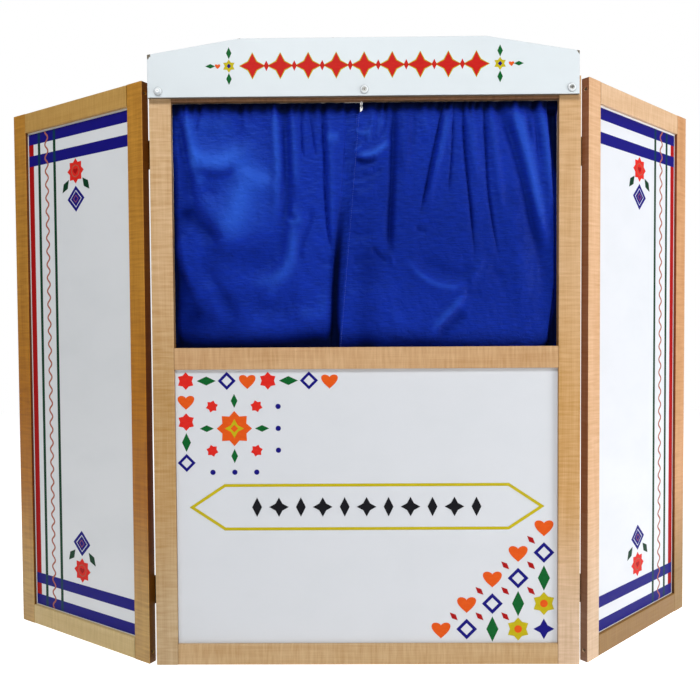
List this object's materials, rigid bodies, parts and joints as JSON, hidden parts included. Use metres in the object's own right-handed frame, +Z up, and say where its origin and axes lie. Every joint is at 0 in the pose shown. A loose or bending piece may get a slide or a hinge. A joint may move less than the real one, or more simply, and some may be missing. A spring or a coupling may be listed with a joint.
{
  "type": "puppet theatre screen",
  "caption": "Folding wooden puppet theatre screen: a framed centre leaf with a stage opening and sliding curtain halves, a header board, and framed wings hinged at the sides.",
  "frame": {"origin": "middle of the underside of the centre leaf's bottom rail, at half the leaf's thickness", "axes": "+Z up, +X to the audience's right along the centre leaf, +Y away from the audience"},
  "size_m": [1.6395, 0.3226, 1.298],
  "materials": {
    "birch_centre": "clear satin lacquer on birch",
    "birch_left_wing": "clear satin lacquer on birch, a darker board",
    "birch_right_wing": "clear satin lacquer on birch, a lighter board",
    "white_laminate": "smooth white melamine laminate",
    "header_laminate": "smooth white melamine laminate on board",
    "white_plastic": "moulded white plastic",
    "wire_coating": "white plastic sheath on a steel spring wire",
    "hinge_steel": "dark bronzed steel",
    "screw_steel": "zinc-plated steel",
    "curtain_fabric": "royal blue plain-weave lining cloth with a slight sheen"
  },
  "bodies": {
    "centre_leaf": {"centre_left_stile": "birch_centre", "centre_right_stile": "birch_centre", "centre_bottom_rail": "birch_centre", "centre_middle_rail": "birch_centre", "centre_top_rail": "birch_centre", "front_panel": "white_laminate", "header_board": "header_laminate", "header_left_washer": "white_plastic", "header_middle_washer": "white_plastic", "header_right_washer": "white_plastic", "header_left_snap_cap": "white_plastic", "header_left_screw": "screw_steel", "header_middle_screw": "screw_steel", "header_right_screw": "screw_steel", "centre_left_bottom_screw": "screw_steel", "centre_left_middle_screw": "screw_steel", "centre_left_top_screw": "screw_steel", "centre_right_bottom_screw": "screw_steel", "centre_right_middle_screw": "screw_steel", "centre_right_top_screw": "screw_steel", "curtain_wire": "wire_coating", "left_wire_hook": "screw_steel", "middle_wire_hook": "white_plastic", "right_wire_hook": "screw_steel", "left_curtain": "curtain_fabric", "right_curtain": "curtain_fabric", "left_wing_upper_hinge_centre_plate": "hinge_steel", "left_wing_upper_hinge_pin": "hinge_steel", "left_wing_lower_hinge_centre_plate": "hinge_steel", "left_wing_lower_hinge_pin": "hinge_steel", "right_wing_upper_hinge_centre_plate": "hinge_steel", "right_wing_upper_hinge_pin": "hinge_steel", "right_wing_lower_hinge_centre_plate": "hinge_steel", "right_wing_lower_hinge_pin": "hinge_steel"},
    "left_wing": {"left_wing_inner_stile": "birch_left_wing", "left_wing_outer_stile": "birch_left_wing", "left_wing_bottom_rail": "birch_left_wing", "left_wing_top_rail": "birch_left_wing", "left_wing_panel": "white_laminate", "left_wing_inner_bottom_screw": "screw_steel", "left_wing_inner_top_screw": "screw_steel", "left_wing_outer_bottom_screw": "screw_steel", "left_wing_outer_top_screw": "screw_steel", "left_wing_upper_hinge_wing_plate": "hinge_steel", "left_wing_lower_hinge_wing_plate": "hinge_steel"},
    "right_wing": {"right_wing_inner_stile": "birch_right_wing", "right_wing_outer_stile": "birch_right_wing", "right_wing_bottom_rail": "birch_right_wing", "right_wing_top_rail": "birch_right_wing", "right_wing_panel": "white_laminate", "right_wing_inner_bottom_screw": "screw_steel", "right_wing_inner_top_screw": "screw_steel", "right_wing_outer_bottom_screw": "screw_steel", "right_wing_outer_top_screw": "screw_steel", "right_wing_upper_hinge_wing_plate": "hinge_steel", "right_wing_lower_hinge_wing_plate": "hinge_steel"},
    "left_curtain_edge": {"left_curtain_lead_edge": "curtain_fabric"},
    "right_curtain_edge": {"right_curtain_lead_edge": "curtain_fabric"}
  },
  "joints": [
    {"name": "left_wing_fold", "type": "hinge", "parent": "centre_leaf", "child": "left_wing", "pos_m": [-0.447, 0.012, 0.61], "axis": [0, 0, -1], "range_deg": [-45.6, 149.4]},
    {"name": "right_wing_fold", "type": "hinge", "parent": "centre_leaf", "child": "right_wing", "pos_m": [0.447, 0.012, 0.61], "axis": [0, 0, 1], "range_deg": [-55.3, 139.7]},
    {"name": "left_curtain_slide", "type": "slide", "parent": "centre_leaf", "child": "left_curtain_edge", "axis": [-1, 0, 0], "range_m": [0, 0.27], "deforming": ["left_curtain"]},
    {"name": "right_curtain_slide", "type": "slide", "parent": "centre_leaf", "child": "right_curtain_edge", "axis": [1, 0, 0], "range_m": [0, 0.27], "deforming": ["right_curtain"]}
  ]
}
